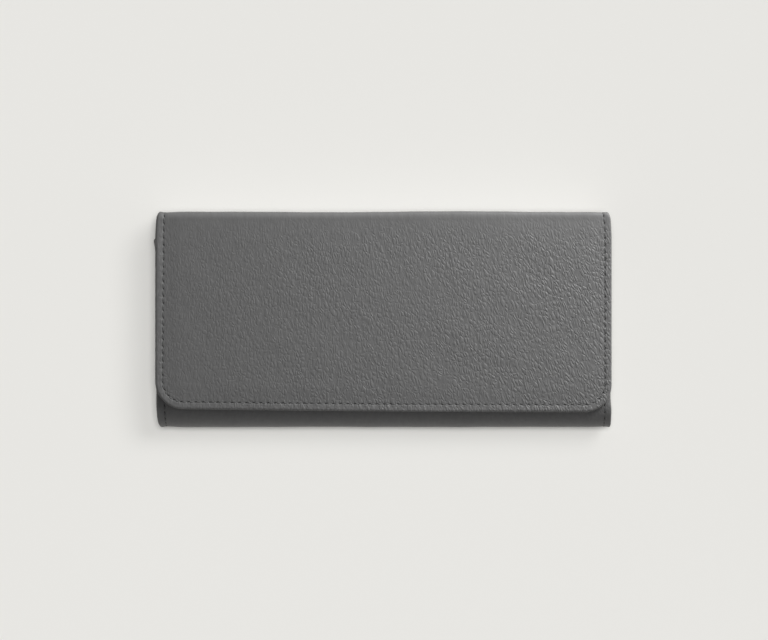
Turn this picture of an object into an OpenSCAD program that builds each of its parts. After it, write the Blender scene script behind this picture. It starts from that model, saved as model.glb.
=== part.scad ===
// Continental wallet with a full flap, an accordion body, card slots and a zipped coin pocket.
// It lies on its back: x runs along its width, +y points to the spine, +z points up through the flap.
// The origin is at the bottom centre of the closed wallet.

/* [Outer size] */
// Width of the flap and spine, side to side
wallet_w = 200; // [180:1:220]
// Height of the closed wallet, bottom fold to spine
wallet_h = 95; // [90:1:110]
// Step from the flap's side edge in to the panels' side edge
flap_overhang = 0.3; // [0.2:0.1:1.2]
// Height of the bottom fold that the flap leaves in view
fold_show = 7.9; // [5:0.1:10]
// Distance from the spine down to the front panel's top edge
mouth_h = 11.5; // [11:0.5:18]
// Outer radius of the two folds at the spine
spine_fold_r = 5; // [4.5:0.1:6]
// Corner radius of the flap's lower corners
flap_corner_r = 12; // [8:0.5:16]
// Corner radius of the front panel's top corners
panel_corner_r = 3; // [2.5:0.5:8]
// How far the side edges draw in at the ends of the folds
corner_draw = 0.6; // [0.2:0.1:1.5]
// Length over which the side edges draw in
corner_draw_len = 6; // [4:0.5:9]
// Small radius at the ends of the folds
fold_end_r = 1.4; // [0.8:0.1:2]

/* [Layers] */
// Thickness of the outer leather
leather_t = 1; // [0.8:0.1:1.2]
// Thickness of the filler boards and of the turned hem beside them
board_t = 1; // [0.8:0.1:1.2]
// Thickness of the lining
lining_t = 0.4; // [0.3:0.05:0.6]
// Width of the turned hem
hem_w = 6; // [5:0.5:8]
// Step from an edge in to the lining
lining_inset = 1.5; // [1:0.1:2.5]
// Clearance round a board in its recess
board_gap = 0.1; // [0.05:0.05:0.3]
// Clearance between two panels where a fold is split
fold_gap = 0.2; // [0.1:0.05:0.3]
// Clearance under the closed flap
flap_gap = 0.3; // [0.2:0.05:0.6]

/* [Bill compartments] */
// Free height of each bill compartment
bill_gap = 4.3; // [4.2:0.1:6]
// Thickness of the folding side gussets
gusset_t = 0.5; // [0.4:0.05:0.7]
// Depth of the gussets' folds from the panels' side edge
gusset_fold_depth = 12.5; // [10:0.5:15]
// Distance from the panels' side edge to the gussets' middle web
gusset_web_depth = 3.3; // [3:0.1:4.5]
// Distance from the panels' side edge to the gussets' glued edge
gusset_edge_depth = 0.6; // [0.5:0.1:1.2]
// Clearance between a gusset and the lining or the coin pocket
gusset_gap = 0.1; // [0.05:0.05:0.2]

/* [Card slots] */
// Thickness of a card slot's leather
slot_t = 0.5; // [0.4:0.05:0.6]
// Free space under each slot layer
slot_gap = 0.2; // [0.15:0.05:0.4]
// Width of a card slot
slot_w = 87.5; // [87:0.5:90]
// Distance between the two columns of slots
slot_column_gap = 1.6; // [1:0.2:3]
// Step between the top edges of two slots
slot_step = 8; // [6:0.5:9]
// Depth of a full card slot
slot_depth = 48; // [46:1:50]
// Distance from the spine's outer face to the rear slot's top edge
slot_top_drop = 12; // [10:0.5:16]
// Corner radius of the slots
slot_corner_r = 2; // [1:0.5:4]

/* [Coin pocket] */
// Free space inside the coin pocket
coin_space = 4.2; // [4.2:0.1:6]
// Thickness of the coin pocket's walls
pocket_wall_t = 0.5; // [0.4:0.05:0.7]
// Width of the binding that closes the pocket's sides and bottom
binding_w = 4; // [3:0.5:6]
// Distance from the front panel's top edge to the pocket's top edge
pocket_drop = 9; // [8.5:0.5:12]
// Corner radius at the pocket's bottom corners
pocket_corner_r = 5; // [3:0.5:8]
// Depth of the front slip pocket
slip_pocket_depth = 52; // [45:1:58]

/* [Zip] */
// Half of the width of the closed chain
chain_half_w = 1.65; // [1.5:0.05:1.65]
// Thickness of the teeth
tooth_t = 1.6; // [1.4:0.1:1.8]
// Distance between two teeth of one row
tooth_pitch = 2.4; // [2.2:0.1:3]
// Clearance between two meshing teeth
tooth_gap = 0.12; // [0.08:0.02:0.2]
// Thickness of the zip's tape
tape_t = 0.4; // [0.3:0.05:0.45]
// Depth of the tape inside the pocket
tape_depth = 8; // [6:0.5:12]
// Height of the chain's middle over the pocket's top edge
chain_rise = 1.6; // [1.6:0.1:2]
// Distance from the pocket's side to the zip's end
zip_end_depth = 15; // [13:0.5:20]
// Length of the slider
slider_len = 7; // [6:0.5:9]
// Thickness of the slider's plates
slider_plate_t = 0.8; // [0.6:0.1:0.9]
// Clearance of the slider round the chain and the tapes
slider_gap = 0.15; // [0.1:0.05:0.25]
// Diameter of the pull's wire
pull_wire_d = 0.9; // [0.8:0.1:1]
// Length of the pull's link
pull_link_len = 5.5; // [5:0.5:6]
// Length of the pull's tab
pull_tab_len = 7; // [6:0.5:7.5]
// Width of the pull's tab
pull_tab_w = 4.6; // [4:0.2:5]

/* [Magnets] */
// Diameter of the hidden magnets
magnet_d = 13; // [10:0.5:16]
// Distance between the two pairs of magnets
magnet_spread = 120; // [90:5:140]
// Distance from the flap's lower edge to the magnets' middle
magnet_rise = 14; // [13:0.5:18]

/* [Hidden] */
$fn = 64;

// One overrun for every cut that runs past a face
over = 1;

// Thickness of the leather with its board, and of a whole lined panel
skin_t = leather_t + board_t;
shell_t = skin_t + lining_t;

// Card slots in each column, one node each
slot_rows = 4;

// Stack from the back's outer face up to the flap's outer face
slot_pitch_z = slot_t + slot_gap;
bank_top_z = shell_t + slot_rows * slot_pitch_z;
pocket_z = bank_top_z + bill_gap;
pocket_t = coin_space + 2 * pocket_wall_t;
chain_z = pocket_z + pocket_t / 2;
slip_z = pocket_z + pocket_t + bill_gap;
body_t = slip_z + slot_pitch_z + shell_t;
total_t = body_t + flap_gap + shell_t;

// Half widths
half_w = wallet_w / 2;
panel_w = wallet_w - 2 * flap_overhang;
half_panel = panel_w / 2;

// Places along the height
spine_y = wallet_h / 2;
bottom_y = -spine_y;
fold_r = body_t / 2;
fold_y = bottom_y + fold_r;
shoulder_y = spine_y - spine_fold_r;
flap_edge_y = bottom_y + fold_show;
mouth_y = spine_y - mouth_h;
pocket_top_y = mouth_y - pocket_drop;
pocket_bottom_y = fold_y + board_t;
chain_y = pocket_top_y + chain_rise;

// The boards stop short of the folds by their own thickness
board_low_y = fold_y + board_t;
board_high_y = shoulder_y - board_t;

// Angles lost to half of the gap at each split fold
fold_split_angle = atan(fold_gap / 2 / fold_r);
spine_split_angle = atan(fold_gap / 2 / spine_fold_r);
spine_split_mid = 45;

// Coin pocket and zip
half_pocket = half_panel - gusset_web_depth - gusset_t / 2 - gusset_gap;
half_zip = half_pocket - zip_end_depth;
tape_out = coin_space / 2;
tape_in = tape_out - tape_t;
stop_len = tooth_pitch / 2;
slider_x = half_zip - slider_len / 2;
teeth_end_x = slider_x - tooth_gap;
teeth_start_x = -half_zip + stop_len + tooth_gap;
teeth_count = floor((teeth_end_x - teeth_start_x) / tooth_pitch - 1 / 4);
plate_y = chain_y + tooth_t / 2 + slider_gap;
pull_y = plate_y + slider_plate_t + pull_wire_d;

leather_grey = "#6b6b6b";
lining_grey = "#4c4b4a";
board_grey = "#b9b4a8";
tape_grey = "#3b3b3b";
metal_grey = "#b8b9bd";

// Stands a y-z outline up across the width
module across(w) {
    rotate([90, 0, 90]) linear_extrude(w, center = true) children();
}

// Both mirror images of what is drawn at +x
module both_sides() {
    children();
    mirror([1, 0, 0]) children();
}

// Outline of a strip that starts square and ends in a half round
module soft_end(len, t) {
    square([len - t / 2, t]);
    translate([len - t / 2, t / 2]) circle(t / 2);
}

// Cross-section of a panel with half-round side edges
module soft_section(w, t) {
    translate([-(w - t) / 2, 0]) square([w - t, t]);
    translate([-(w - t) / 2, t / 2]) circle(t / 2);
    translate([(w - t) / 2, t / 2]) circle(t / 2);
}

// Flat stretch of a soft-edged panel, from y0 to y1, lowest face at z
module soft_flat(w, t, y0, y1, z) {
    translate([0, y1, z]) rotate([90, 0, 0]) linear_extrude(y1 - y0) soft_section(w, t);
}

// Soft-edged panel that ends at y_end in an edge with two round corners, starting at y_start
module soft_panel(w, t, y_start, y_end, corner_r, z) {
    dir = sign(y_end - y_start);
    corner_y = y_end - dir * corner_r;
    soft_flat(w, t, min(y_start, corner_y), max(y_start, corner_y), z);
    translate([0, corner_y, z]) mirror([0, dir < 0 ? 1 : 0, 0]) {
        across(w - 2 * corner_r) soft_end(corner_r, t);
        both_sides()
            translate([w / 2 - corner_r, 0, 0]) rotate_extrude(angle = 90) soft_end(corner_r, t);
    }
}

// Bent stretch of a soft-edged panel round an axis along x, between two angles from +y
module soft_fold(w, t, y, z, r, from, to) {
    translate([0, y, z]) rotate([90, 0, 90])
        rotate_extrude(angle = to - from, start = from)
            translate([r, 0]) rotate(90) soft_section(w, t);
}

// y-z outline of a thin bent layer between depths d0 and d1 below a fold of radius r
module bent_layer(y, z, r, d0, d1, from, to) {
    steps = 6;
    reach = 2 * r;
    translate([y, z]) intersection() {
        difference() {
            circle(r - d0);
            circle(r - d1);
        }
        polygon(concat([[0, 0]], [for (i = [0:steps])
            let (a = from + (to - from) * i / steps) [reach * cos(a), reach * sin(a)]]));
    }
}

// Wedges that draw the corners in at the ends of a fold; dir is 1 at the spine, -1 at the bottom
module corner_trim(half, dir, reach_z) {
    steps = 4;
    end_y = spine_y;
    side_x = half - corner_draw;
    outline = concat(
        [[half + over, end_y - corner_draw_len - over], [half + corner_draw / 8, end_y - corner_draw_len]],
        [for (i = [0:steps]) let (a = 90 * i / steps)
            [side_x - fold_end_r * (1 - cos(a)), end_y - fold_end_r * (1 - sin(a))]],
        [[side_x - fold_end_r, end_y + over], [half + over, end_y + over]]);
    mirror([0, dir < 0 ? 1 : 0, 0]) both_sides()
        translate([0, 0, -over]) linear_extrude(reach_z + 2 * over) polygon(outline);
}

// Flat rectangle with round corners at one end, from y0 to y1, resting at z
module rounded_sheet(half, y0, y1, r, z, t, round_low) {
    steps = 5;
    low_y = min(y0, y1);
    high_y = max(y0, y1);
    corner = [for (i = [0:steps]) let (a = 90 * i / steps) [half - r + r * sin(a), low_y + r - r * cos(a)]];
    right = concat(corner, [[half, high_y]]);
    left = [for (i = [len(right) - 1:-1:0]) [-right[i][0], right[i][1]]];
    flip_y = low_y + high_y;
    translate([0, round_low ? 0 : flip_y, z]) mirror([0, round_low ? 0 : 1, 0])
        linear_extrude(t) polygon(concat(right, left));
}

// Direction from one point to the next
function heading(a, b) = (b - a) / norm(b - a);

// One side of a strip along a list of points, h to the left of them
function strip_side(p, h) = [for (i = [0:len(p) - 1])
    let (
        a = heading(p[max(i - 1, 0)], p[max(i, 1)]),
        b = heading(p[min(i, len(p) - 2)], p[min(i + 1, len(p) - 1)]),
        n = [-a[1], a[0]],
        m = [-b[1], b[0]]
    ) p[i] + h * (n + m) / (1 + n * m)];

// Strip of constant thickness along a list of points
module ribbon(points, t) {
    back = strip_side(points, -t / 2);
    polygon(concat(strip_side(points, t / 2), [for (i = [len(back) - 1:-1:0]) back[i]]));
}

// Recess for a board between the hems
module board_recess(half, y0, y1, r, z, round_low) {
    rounded_sheet(half - hem_w, y0, y1, r, z, board_t + over, round_low);
}

module back_leather() {
    color(leather_grey) difference() {
        union() {
            soft_flat(panel_w, skin_t, fold_y, shoulder_y, 0);
            soft_fold(panel_w, skin_t, fold_y, fold_r, fold_r, 270, 180 + fold_split_angle);
            soft_fold(panel_w, skin_t, shoulder_y, spine_fold_r, spine_fold_r,
                270, 360 - spine_split_mid - spine_split_angle);
        }
        board_recess(half_panel, board_low_y, board_high_y, panel_corner_r, leather_t, true);
        corner_trim(half_panel, 1, total_t);
        corner_trim(half_panel, -1, total_t);
    }
}

module back_board() {
    color(board_grey) rounded_sheet(half_panel - hem_w - board_gap, board_low_y + board_gap,
        board_high_y - board_gap, panel_corner_r, leather_t, board_t, true);
}

module back_lining() {
    lining_w = panel_w - 2 * lining_inset;
    color(lining_grey) across(lining_w) {
        translate([fold_y, skin_t]) square([shoulder_y - fold_y, lining_t]);
        bent_layer(fold_y, fold_r, fold_r, skin_t, shell_t, 180 + fold_split_angle, 270);
        bent_layer(shoulder_y, spine_fold_r, spine_fold_r, skin_t, shell_t,
            270, 360 - spine_split_mid - spine_split_angle);
    }
}

// Card slots are numbered from the rear; side is -1 for the left column, 1 for the right
module card_slot(side, row) {
    top_y = spine_y - slot_top_drop - (row - 1) * slot_step;
    low_y = max(top_y - slot_depth, pocket_bottom_y);
    z = shell_t + (row - 1) * slot_pitch_z + slot_gap;
    middle_x = side * (slot_column_gap + slot_w) / 2;
    color(lining_grey) translate([middle_x, 0, 0])
        rounded_sheet(slot_w / 2, low_y, top_y, slot_corner_r, z, slot_t, false);
}

// Places of a gusset's folds across the width, and its step from what it is glued to
gusset_fold_x = half_panel - gusset_fold_depth;
gusset_web_x = half_panel - gusset_web_depth;
gusset_edge_x = half_panel - gusset_edge_depth;
gusset_seat = gusset_t / 2 + gusset_gap;

// Folded path of a gusset in x and z: glued edge, fold, web beside the coin pocket, fold, glued edge
gusset_path = [
    [gusset_edge_x, shell_t + gusset_seat],
    [gusset_fold_x, (bank_top_z + pocket_z) / 2 - gusset_t],
    [gusset_fold_x, (bank_top_z + pocket_z) / 2 + gusset_t],
    [gusset_web_x, pocket_z - gusset_seat],
    [gusset_web_x, pocket_z + pocket_t + gusset_seat],
    [gusset_fold_x, (pocket_z + pocket_t + slip_z) / 2 - gusset_t],
    [gusset_fold_x, (pocket_z + pocket_t + slip_z) / 2 + gusset_t],
    [gusset_edge_x, body_t - shell_t - gusset_seat]
];

module gusset() {
    steps = 10;
    r = fold_r - shell_t - gusset_gap;
    inside = concat(
        [for (i = [0:steps]) let (a = 90 + 180 * i / steps) [fold_y + r * cos(a), fold_r + r * sin(a)]],
        [[spine_y, fold_r - r], [spine_y, fold_r + r]]);
    color(lining_grey) intersection() {
        translate([0, mouth_y - panel_corner_r, 0]) rotate([90, 0, 0])
            linear_extrude(mouth_y - panel_corner_r - bottom_y) ribbon(gusset_path, gusset_t);
        across(2 * wallet_w) polygon(inside);
    }
}

module pocket_wall(z) {
    color(lining_grey) rounded_sheet(half_pocket, pocket_bottom_y, pocket_top_y, pocket_corner_r,
        z, pocket_wall_t, true);
}

module coin_pocket_binding() {
    z = pocket_z + pocket_wall_t;
    color(tape_grey) difference() {
        rounded_sheet(half_pocket, pocket_bottom_y, pocket_top_y, pocket_corner_r, z, coin_space, true);
        rounded_sheet(half_pocket - binding_w, pocket_bottom_y + binding_w, pocket_top_y + over,
            pocket_corner_r - binding_w / 2, z - over, coin_space + 2 * over, true);
    }
}

// The zip's rows are told apart by side: -1 is the rear one, 1 the front one
module zip_row(side) {
    translate([0, 0, chain_z]) mirror([0, 0, side < 0 ? 1 : 0]) children();
}

// Inner edge of the tape's lip, which the teeth hold
lip_z = tape_in - chain_half_w / 3;

module zip_tape(side) {
    color(tape_grey) zip_row(side) across(2 * half_zip) {
        translate([pocket_top_y - tape_depth, tape_in]) square([tape_depth + chain_rise, tape_t]);
        translate([chain_y - tape_t / 2, lip_z]) square([tape_t, tape_out - lip_z]);
    }
}

// Slot round the tape's lip, for one row
module lip_slot() {
    slot_h = tape_t + slider_gap;
    translate([-half_zip - over, chain_y - slot_h / 2, lip_z - slider_gap / 2])
        cube([2 * (half_zip + over), slot_h, coin_space]);
}

// One tooth seen along y: a leg, a neck and a head that meshes with the other row
module tooth_outline() {
    leg = tooth_pitch / 4;
    neck = tooth_pitch / 6;
    head = tooth_pitch / 4 - tooth_gap / 2;
    head_z = tooth_pitch / 8;
    nose_z = tooth_pitch / 4;
    polygon([
        [-leg, chain_half_w], [-leg, head_z + nose_z], [-neck, nose_z], [-head, head_z - nose_z / 2],
        [-head, -head_z / 2], [-neck, -nose_z], [neck, -nose_z], [head, -head_z / 2],
        [head, head_z - nose_z / 2], [neck, nose_z], [leg, head_z + nose_z], [leg, chain_half_w]
    ]);
}

module zip_teeth(side) {
    first_x = teeth_start_x + tooth_pitch / 2 + (side < 0 ? tooth_pitch / 2 : 0);
    color(metal_grey) zip_row(side) difference() {
        for (i = [0:teeth_count - 1])
            translate([first_x + i * tooth_pitch, chain_y + tooth_t / 2, 0])
                rotate([90, 0, 0]) linear_extrude(tooth_t) tooth_outline();
        lip_slot();
    }
}

// One stop across both rows at the open end, and one on each row at the slider's rest
module zip_stops() {
    post_clear = pull_wire_d;
    color(metal_grey) for (side = [-1, 1]) zip_row(side) difference() {
        union() {
            translate([-half_zip, chain_y - tooth_t / 2, 0]) cube([stop_len, tooth_t, chain_half_w]);
            translate([half_zip - stop_len, chain_y - tooth_t / 2, post_clear])
                cube([stop_len, tooth_t, chain_half_w - post_clear]);
        }
        lip_slot();
    }
}

module zip_end_tabs() {
    tab_start = half_zip + board_gap;
    tab_len = half_pocket - binding_w - board_gap - tab_start;
    color(lining_grey) both_sides()
        translate([tab_start, pocket_top_y - tape_depth, pocket_z + pocket_wall_t + board_gap])
            cube([tab_len, tape_depth + chain_rise, coin_space - 2 * board_gap]);
}

// Outline of the slider's plates seen along y: narrow at the closed end, wide at the mouth
module slider_outline(rear_half, front_half) {
    rear_x = -slider_len / 2;
    front_x = slider_len / 2;
    polygon([
        [rear_x, -rear_half], [0, -rear_half], [front_x - slider_len / 4, -front_half],
        [front_x, -front_half / 2], [front_x, front_half / 2], [front_x - slider_len / 4, front_half],
        [0, rear_half], [rear_x, rear_half]
    ]);
}

module zip_slider() {
    flange_in = tape_out + pocket_wall_t / 4 + slider_gap;
    rear_half = flange_in + slider_plate_t / 2;
    front_half = rear_half + slider_plate_t / 2;
    flange_y = pocket_top_y + slider_gap;
    lower_half = tape_in - slider_gap;
    lower_y = chain_y - tooth_t / 2 - slider_gap;
    post_len = slider_len / 4;
    post_half = pull_wire_d / 2 + slider_gap;
    arch_t = pull_wire_d + slider_gap;
    arch_half_len = slider_len / 3;
    window_half = pull_wire_d;
    window_top = pull_y + pull_wire_d / 2 + slider_gap;
    arch_low = plate_y + slider_plate_t;
    arch_top = window_top + slider_plate_t;
    color(metal_grey) translate([slider_x, 0, chain_z]) {
        translate([0, plate_y + slider_plate_t, 0]) rotate([90, 0, 0])
            linear_extrude(slider_plate_t) slider_outline(rear_half, front_half);
        for (side = [-1, 1])
            translate([-slider_len / 2, flange_y, side < 0 ? -rear_half : flange_in])
                cube([slider_len / 2, plate_y - flange_y, rear_half - flange_in]);
        translate([0, lower_y, 0]) rotate([90, 0, 0])
            linear_extrude(slider_plate_t) slider_outline(lower_half, lower_half);
        translate([0, plate_y, 0]) rotate([90, 0, 0]) linear_extrude(plate_y - lower_y)
            polygon([[0, 0], [post_len / 2, post_half], [post_len, 0], [post_len / 2, -post_half]]);
        difference() {
            translate([-arch_half_len, arch_low, -arch_t / 2])
                cube([2 * arch_half_len, arch_top - arch_low, arch_t]);
            translate([-window_half, arch_low, -arch_t])
                cube([2 * window_half, window_top - arch_low, 2 * arch_t]);
        }
    }
}

// Half width of the pull's link, clear of the slider's arch
link_half = pull_wire_d * 2;
link_end_x = slider_x - pull_link_len;

module zip_pull_link() {
    r = pull_wire_d / 2;
    color(metal_grey) translate([0, pull_y, chain_z]) {
        for (x = [slider_x, link_end_x])
            translate([x, 0, -link_half]) cylinder(h = 2 * link_half, r = r);
        for (side = [-1, 1]) {
            translate([link_end_x, 0, side * link_half]) rotate([0, 90, 0])
                cylinder(h = pull_link_len, r = r);
            for (x = [slider_x, link_end_x])
                translate([x, 0, side * link_half]) sphere(r);
        }
    }
}

module zip_pull_tab() {
    eye_in = pull_wire_d / 2 + slider_gap;
    eye_out = eye_in + slider_plate_t * 3 / 4;
    eye_half = link_half - pull_wire_d / 2 - slider_gap;
    tab_t = slider_plate_t;
    neck_x = -eye_out;
    end_x = -pull_tab_len;
    wide = pull_tab_w / 2;
    color(metal_grey) translate([link_end_x, pull_y, chain_z]) difference() {
        union() {
            translate([0, 0, -eye_half]) cylinder(h = 2 * eye_half, r = eye_out);
            translate([0, tab_t / 2, 0]) rotate([90, 0, 0]) linear_extrude(tab_t)
                polygon([
                    [0, -eye_half], [0, eye_half], [neck_x, eye_half], [neck_x + end_x / 4, wide],
                    [end_x + wide / 2, wide], [end_x, wide / 2], [end_x, -wide / 2],
                    [end_x + wide / 2, -wide], [neck_x + end_x / 4, -wide], [neck_x, -eye_half]
                ]);
        }
        translate([0, 0, -pull_tab_w]) cylinder(h = 2 * pull_tab_w, r = eye_in);
    }
}

module front_leather() {
    color(leather_grey) difference() {
        union() {
            soft_panel(panel_w, skin_t, fold_y, mouth_y, panel_corner_r, body_t - skin_t);
            soft_fold(panel_w, skin_t, fold_y, fold_r, fold_r, 90, 180 - fold_split_angle);
        }
        board_recess(half_panel, board_low_y, mouth_y - hem_w, panel_corner_r, body_t - skin_t - over, false);
        corner_trim(half_panel, -1, total_t);
    }
}

module front_board() {
    color(board_grey) difference() {
        rounded_sheet(half_panel - hem_w - board_gap, board_low_y + board_gap, mouth_y - hem_w - board_gap,
            panel_corner_r, body_t - skin_t, board_t, false);
        magnet_places() translate([0, 0, body_t - skin_t - over])
            cylinder(h = board_t + 2 * over, r = magnet_d / 2 + board_gap);
    }
}

module front_lining() {
    lining_w = panel_w - 2 * lining_inset;
    color(lining_grey) {
        rounded_sheet(lining_w / 2, fold_y, mouth_y - lining_inset, panel_corner_r,
            body_t - shell_t, lining_t, false);
        across(lining_w) bent_layer(fold_y, fold_r, fold_r, skin_t, shell_t, 90, 180 - fold_split_angle);
    }
}

module front_slip_pocket() {
    color(lining_grey) rounded_sheet(gusset_fold_x, pocket_bottom_y, pocket_bottom_y + slip_pocket_depth,
        slot_corner_r, slip_z, slot_t, false);
}

module magnet_places() {
    for (side = [-1, 1])
        translate([side * magnet_spread / 2, flap_edge_y + magnet_rise, 0]) children();
}

module magnets(z) {
    color(metal_grey) magnet_places() translate([0, 0, z]) cylinder(h = board_t, r = magnet_d / 2);
}

module spine_leather() {
    color(leather_grey) difference() {
        union() {
            translate([0, spine_y, 0]) rotate([90, 0, 0])
                soft_flat(wallet_w, skin_t, spine_fold_r, total_t - spine_fold_r, 0);
            soft_fold(wallet_w, skin_t, shoulder_y, spine_fold_r, spine_fold_r,
                0, spine_split_angle - spine_split_mid);
            soft_fold(wallet_w, skin_t, shoulder_y, total_t - spine_fold_r, spine_fold_r,
                0, spine_split_mid - spine_split_angle);
        }
        translate([-half_w + hem_w, spine_y - skin_t - over, spine_fold_r + board_t])
            cube([wallet_w - 2 * hem_w, board_t + over, total_t - 2 * (spine_fold_r + board_t)]);
        corner_trim(half_w, 1, total_t);
    }
}

module spine_filler() {
    low_z = spine_fold_r + board_t + board_gap;
    color(board_grey) translate([-half_w + hem_w + board_gap, spine_y - skin_t, low_z])
        cube([wallet_w - 2 * (hem_w + board_gap), board_t, total_t - 2 * low_z]);
}

module spine_lining() {
    lining_w = wallet_w - 2 * lining_inset;
    color(lining_grey) across(lining_w) {
        translate([spine_y - shell_t, spine_fold_r]) square([lining_t, total_t - 2 * spine_fold_r]);
        bent_layer(shoulder_y, spine_fold_r, spine_fold_r, skin_t, shell_t,
            360 - spine_split_mid + spine_split_angle, 360);
        bent_layer(shoulder_y, total_t - spine_fold_r, spine_fold_r, skin_t, shell_t,
            0, spine_split_mid - spine_split_angle);
    }
}

module flap_leather() {
    color(leather_grey) difference() {
        union() {
            soft_panel(wallet_w, skin_t, shoulder_y, flap_edge_y, flap_corner_r, total_t - skin_t);
            soft_fold(wallet_w, skin_t, shoulder_y, total_t - spine_fold_r, spine_fold_r,
                90, spine_split_mid + spine_split_angle);
        }
        board_recess(half_w, flap_edge_y + hem_w, board_high_y, flap_corner_r - hem_w / 2,
            total_t - skin_t - over, true);
        corner_trim(half_w, 1, total_t);
    }
}

module flap_board() {
    color(board_grey) difference() {
        rounded_sheet(half_w - hem_w - board_gap, flap_edge_y + hem_w + board_gap, board_high_y - board_gap,
            flap_corner_r - hem_w / 2, total_t - skin_t, board_t, true);
        magnet_places() translate([0, 0, total_t - skin_t - over])
            cylinder(h = board_t + 2 * over, r = magnet_d / 2 + board_gap);
    }
}

module flap_lining() {
    lining_w = wallet_w - 2 * lining_inset;
    color(lining_grey) {
        rounded_sheet(lining_w / 2, flap_edge_y + lining_inset, shoulder_y, flap_corner_r - lining_inset,
            total_t - shell_t, lining_t, true);
        across(lining_w) bent_layer(shoulder_y, total_t - spine_fold_r, spine_fold_r, skin_t, shell_t,
            spine_split_mid + spine_split_angle, 90);
    }
}

back_leather();
back_board();
back_lining();
card_slot(-1, 1);  // card_slot_left_1
card_slot(-1, 2);  // card_slot_left_2
card_slot(-1, 3);  // card_slot_left_3
card_slot(-1, 4);  // card_slot_left_4
card_slot(1, 1);  // card_slot_right_1
card_slot(1, 2);  // card_slot_right_2
card_slot(1, 3);  // card_slot_right_3
card_slot(1, 4);  // card_slot_right_4
mirror([1, 0, 0]) gusset();  // gusset_left
gusset();  // gusset_right
pocket_wall(pocket_z);  // coin_pocket_rear
pocket_wall(pocket_z + pocket_t - pocket_wall_t);  // coin_pocket_front
coin_pocket_binding();
zip_tape(-1);  // zip_tape_rear
zip_tape(1);  // zip_tape_front
zip_teeth(-1);  // zip_teeth_rear
zip_teeth(1);  // zip_teeth_front
zip_stops();
zip_end_tabs();
zip_slider();
zip_pull_link();
zip_pull_tab();
front_leather();
front_board();
front_lining();
front_slip_pocket();
magnets(body_t - skin_t);  // front_magnets
spine_leather();
spine_filler();
spine_lining();
flap_leather();
flap_board();
flap_lining();
magnets(total_t - skin_t);  // flap_magnets
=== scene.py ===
import math

import bmesh
import bpy
import numpy as np
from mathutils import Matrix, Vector


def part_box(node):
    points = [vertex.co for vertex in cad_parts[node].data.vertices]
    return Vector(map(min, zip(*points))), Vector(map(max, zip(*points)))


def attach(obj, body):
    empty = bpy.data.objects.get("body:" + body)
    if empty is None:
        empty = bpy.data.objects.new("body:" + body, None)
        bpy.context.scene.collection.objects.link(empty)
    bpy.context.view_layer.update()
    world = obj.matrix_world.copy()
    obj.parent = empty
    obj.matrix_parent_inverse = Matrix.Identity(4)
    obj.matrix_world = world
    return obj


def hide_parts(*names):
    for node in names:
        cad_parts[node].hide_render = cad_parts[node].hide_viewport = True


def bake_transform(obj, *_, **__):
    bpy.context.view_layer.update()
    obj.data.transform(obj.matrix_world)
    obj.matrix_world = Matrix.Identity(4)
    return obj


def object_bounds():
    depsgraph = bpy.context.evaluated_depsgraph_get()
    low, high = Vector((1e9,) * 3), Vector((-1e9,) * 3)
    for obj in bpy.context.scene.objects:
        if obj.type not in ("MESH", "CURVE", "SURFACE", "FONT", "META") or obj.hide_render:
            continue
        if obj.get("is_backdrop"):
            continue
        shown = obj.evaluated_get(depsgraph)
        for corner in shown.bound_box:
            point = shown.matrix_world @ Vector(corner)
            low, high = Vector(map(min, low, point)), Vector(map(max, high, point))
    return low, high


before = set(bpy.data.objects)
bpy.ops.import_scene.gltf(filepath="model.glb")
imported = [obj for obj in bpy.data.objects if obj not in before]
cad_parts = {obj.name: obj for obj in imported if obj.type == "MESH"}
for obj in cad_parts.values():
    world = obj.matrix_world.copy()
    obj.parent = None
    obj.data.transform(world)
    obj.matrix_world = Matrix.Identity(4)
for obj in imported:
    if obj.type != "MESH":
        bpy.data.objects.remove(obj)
CAD_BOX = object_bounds()

# Lengths are in millimetres up to the meshes, which are made in metres; a full turn is in radians
MM = 0.001
TURN = 2 * math.pi


def node_mm(name):
    """Lowest and highest corner of a CAD node, in millimetres."""
    low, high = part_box(name)
    return np.round(np.array(low) / MM, 2), np.round(np.array(high) / MM, 2)


# The gap between a gusset and the lining that it lies on
GUSSET_GAP = 0.1

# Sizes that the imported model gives
FRONT_HIGH = node_mm("front_leather")[1]
FLAP_LOW, FLAP_HIGH = node_mm("flap_leather")
SPINE_Y = node_mm("spine_leather")[1][1]
BOARD_LOW, BOARD_HIGH = node_mm("flap_board")
LINING_HIGH = node_mm("flap_lining")[1]
HALF_BODY = FRONT_HIGH[0]
HALF_FLAP = FLAP_HIGH[0]
BODY_T = FRONT_HIGH[2]
TOTAL_T = FLAP_HIGH[2]
BOTTOM_Y = -SPINE_Y
MOUTH_Y = FRONT_HIGH[1]
LEATHER_T = TOTAL_T - BOARD_HIGH[2]
SKIN_T = TOTAL_T - BOARD_LOW[2]
SHELL_T = BODY_T - node_mm("gusset_left")[1][2] - GUSSET_GAP
LINING_T = SHELL_T - SKIN_T
LINING_INSET = HALF_FLAP - LINING_HIGH[0]
HEM_W = HALF_FLAP - BOARD_HIGH[0]
FOLD_R = BODY_T / 2
FOLD_Y = BOTTOM_Y + FOLD_R

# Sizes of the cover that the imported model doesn't name
SPINE_R = 5.0
FLAP_FOLD_R = 3.3
SHOULDER_Y = SPINE_Y - SPINE_R
BOARD_STOP = 1.0
BOARD_GAP = 0.03
HEM_STEP = 0.7
FLAP_CORNER_R = 12.0
PANEL_CORNER_R = 1.6
LINING_CORNER_R = 0.5

# The flap's edge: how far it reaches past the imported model's, its slant and its bow
FLAP_REACH = 0.1
FLAP_EDGE_Y = FLAP_LOW[1] - FLAP_REACH
FLAP_SKEW = 0.75
FLAP_BOW = 0.4

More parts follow.
